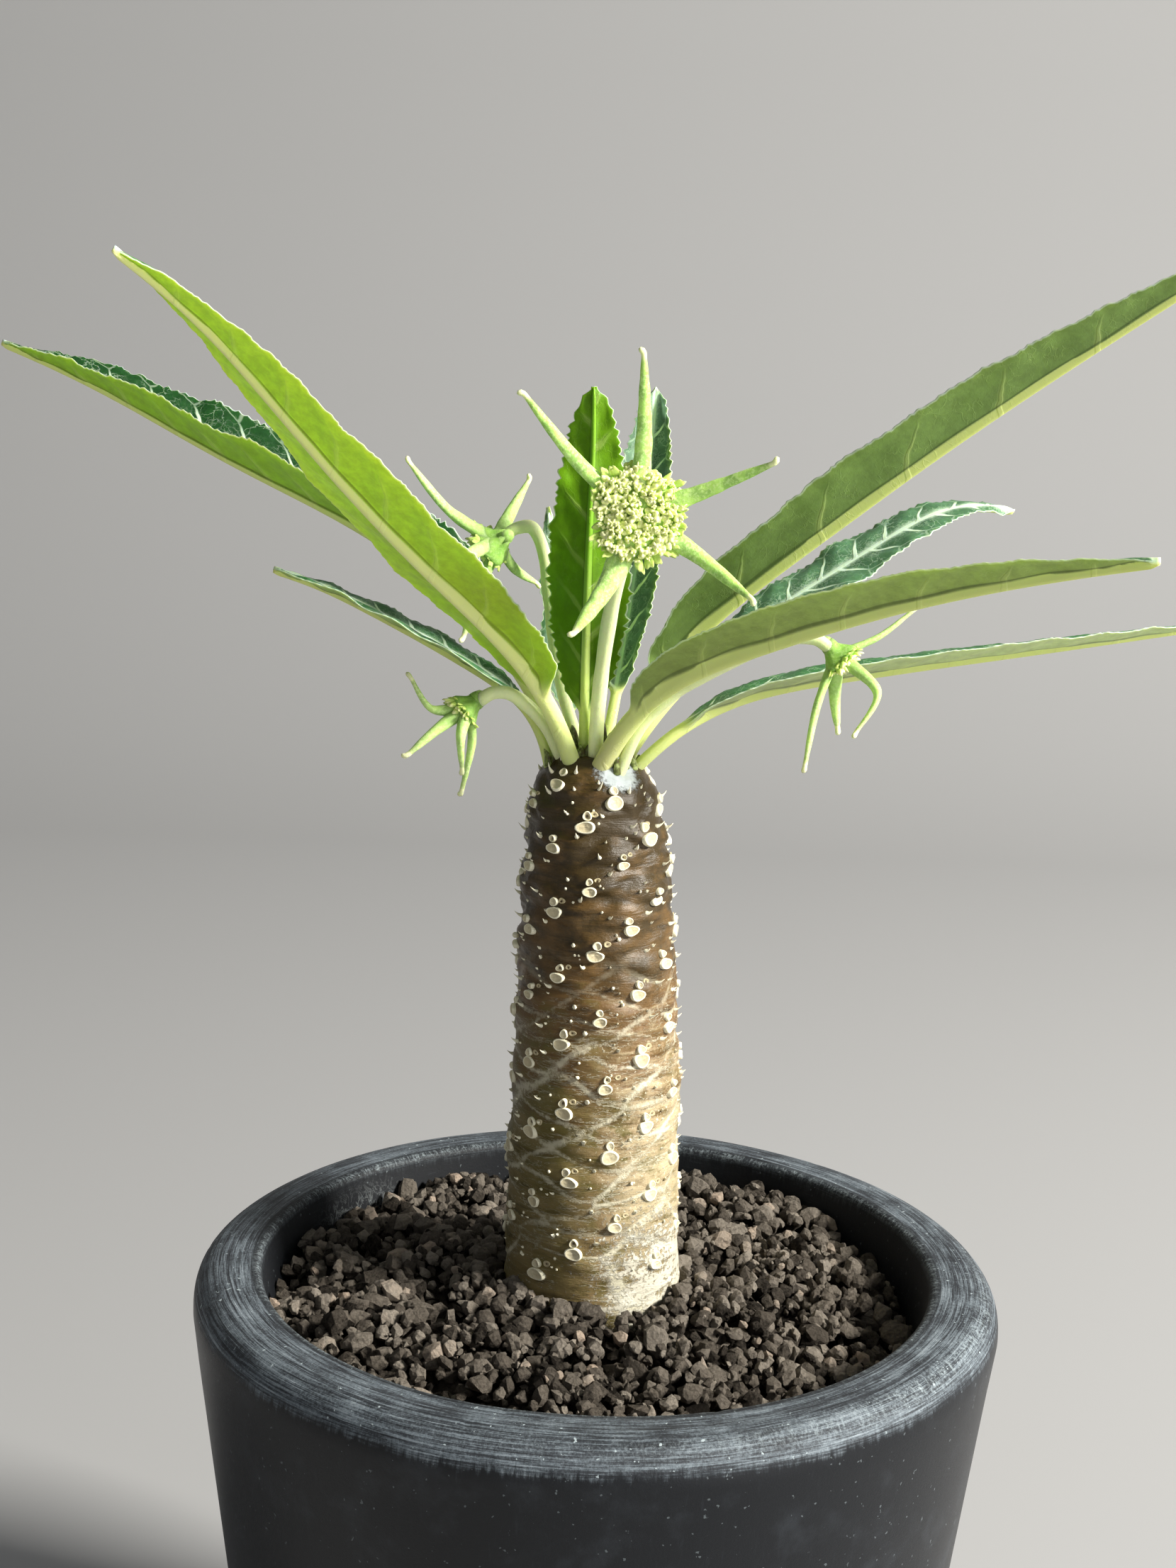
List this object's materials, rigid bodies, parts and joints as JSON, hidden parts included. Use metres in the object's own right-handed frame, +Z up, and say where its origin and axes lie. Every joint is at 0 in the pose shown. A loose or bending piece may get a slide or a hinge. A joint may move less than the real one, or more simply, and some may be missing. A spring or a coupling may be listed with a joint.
{
  "type": "potted dorstenia",
  "caption": "Succulent with a scarred upright trunk, a crown of keeled toothed leaves and star-shaped green flower heads, in gritty substrate in a thick-walled black pot.",
  "frame": {"origin": "centre of the pot's flat foot, on the surface that it stands on", "axes": "+Z up along the pot's axis, -Y towards the camera's side where one flower head faces, +X to the right in that view"},
  "size_m": [0.1383, 0.0902, 0.1938],
  "materials": {
    "black_plastic": "satin",
    "dark_grit": "matte",
    "bark": "satin",
    "leaf_green": "satin",
    "flower_green": "matte"
  },
  "bodies": {
    "root": {"pot": "black_plastic", "substrate": "dark_grit", "trunk": "bark", "leaf_a": "leaf_green", "leaf_b": "leaf_green", "leaf_c": "leaf_green", "leaf_d": "leaf_green", "leaf_e": "leaf_green", "leaf_f": "leaf_green", "leaf_g": "leaf_green", "leaf_h": "leaf_green", "leaf_i": "leaf_green", "leaf_j": "leaf_green", "flower_head_1": "flower_green", "flower_head_2": "flower_green", "flower_head_3": "flower_green", "flower_head_4": "flower_green"}
  },
  "joints": []
}
